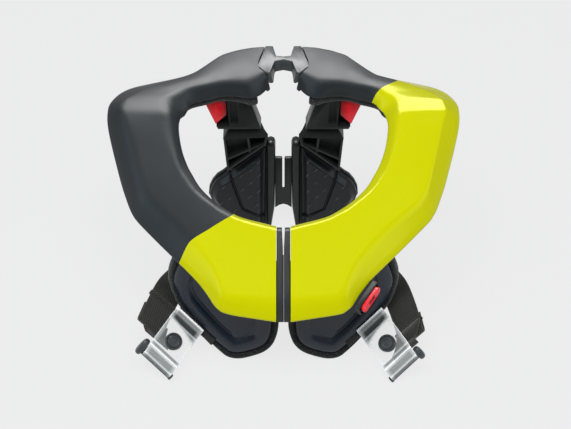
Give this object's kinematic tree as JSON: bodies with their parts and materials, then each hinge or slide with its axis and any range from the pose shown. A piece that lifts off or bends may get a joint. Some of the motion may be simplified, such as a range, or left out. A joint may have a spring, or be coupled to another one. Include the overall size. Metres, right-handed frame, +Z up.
{
  "type": "motocross neck brace",
  "caption": "Motocross neck brace: two half collars that open at the front, joined by flexible bridges at the back, with chest pads, shoulder-blade pads and strap ends.",
  "frame": {"origin": "on the ground plane that the four pads stand on, under the middle of the bounding box", "axes": "+X to the wearer's left, +Y to the wearer's back, +Z up"},
  "size_m": [0.29, 0.2374, 0.175],
  "materials": {
    "collar_slate": "satin slate grey moulding, painted lime at the front",
    "collar_lime": "gloss fluorescent yellow paint, slate grey at the back",
    "nylon": "black moulded nylon",
    "pad_face": "blue-black satin moulding",
    "foam": "black closed-cell foam",
    "webbing": "black twill webbing",
    "clear": "clear flexible plastic",
    "red": "red moulded plastic"
  },
  "bodies": {
    "right_half": {"collar_shell_right": "collar_slate", "collar_liner_right": "foam", "front_seam_right": "nylon", "front_strut_right": "nylon", "chest_plate_right": "pad_face", "chest_foam_right": "foam", "adjuster_block_right": "nylon", "rear_strut_right": "nylon", "scapula_pad_right": "pad_face", "strap_webbing_right": "webbing", "clear_strap_right": "clear", "strap_pin_right": "nylon", "strap_stud_right": "nylon", "strap_tab_right": "webbing", "strap_keeper_right": "webbing", "rear_bridge": "nylon", "lower_bridge": "nylon"},
    "left_half": {"collar_shell_left": "collar_lime", "collar_liner_left": "foam", "front_seam_left": "nylon", "front_strut_left": "nylon", "chest_plate_left": "pad_face", "chest_foam_left": "foam", "adjuster_block_left": "nylon", "rear_strut_left": "nylon", "scapula_pad_left": "pad_face", "strap_webbing_left": "webbing", "clear_strap_left": "clear", "strap_pin_left": "nylon", "strap_stud_left": "nylon", "strap_tab_left": "webbing", "strap_keeper_left": "webbing", "release_housing": "nylon"},
    "release_button": {"release_button": "red"},
    "lock_left": {"adjuster_lock_left": "red"},
    "lock_right": {"adjuster_lock_right": "red"}
  },
  "joints": [
    {"name": "opening", "type": "hinge", "parent": "right_half", "child": "left_half", "pos_m": [0, 0.0945, 0.1], "axis": [0, 0, 1], "range_deg": [0, 35], "stiffness_Nm_per_rad": 0.5, "deforming": ["rear_bridge", "lower_bridge"]},
    {"name": "release_press", "type": "slide", "parent": "left_half", "child": "release_button", "axis": [-0.8104, 0.5858, 0], "range_m": [0, 0.002], "stiffness_N_per_m": 200},
    {"name": "lock_left_pull", "type": "slide", "parent": "left_half", "child": "lock_left", "axis": [1, 0, 0], "range_m": [0, 0.006]},
    {"name": "lock_right_pull", "type": "slide", "parent": "right_half", "child": "lock_right", "axis": [-1, 0, 0], "range_m": [0, 0.006]}
  ]
}
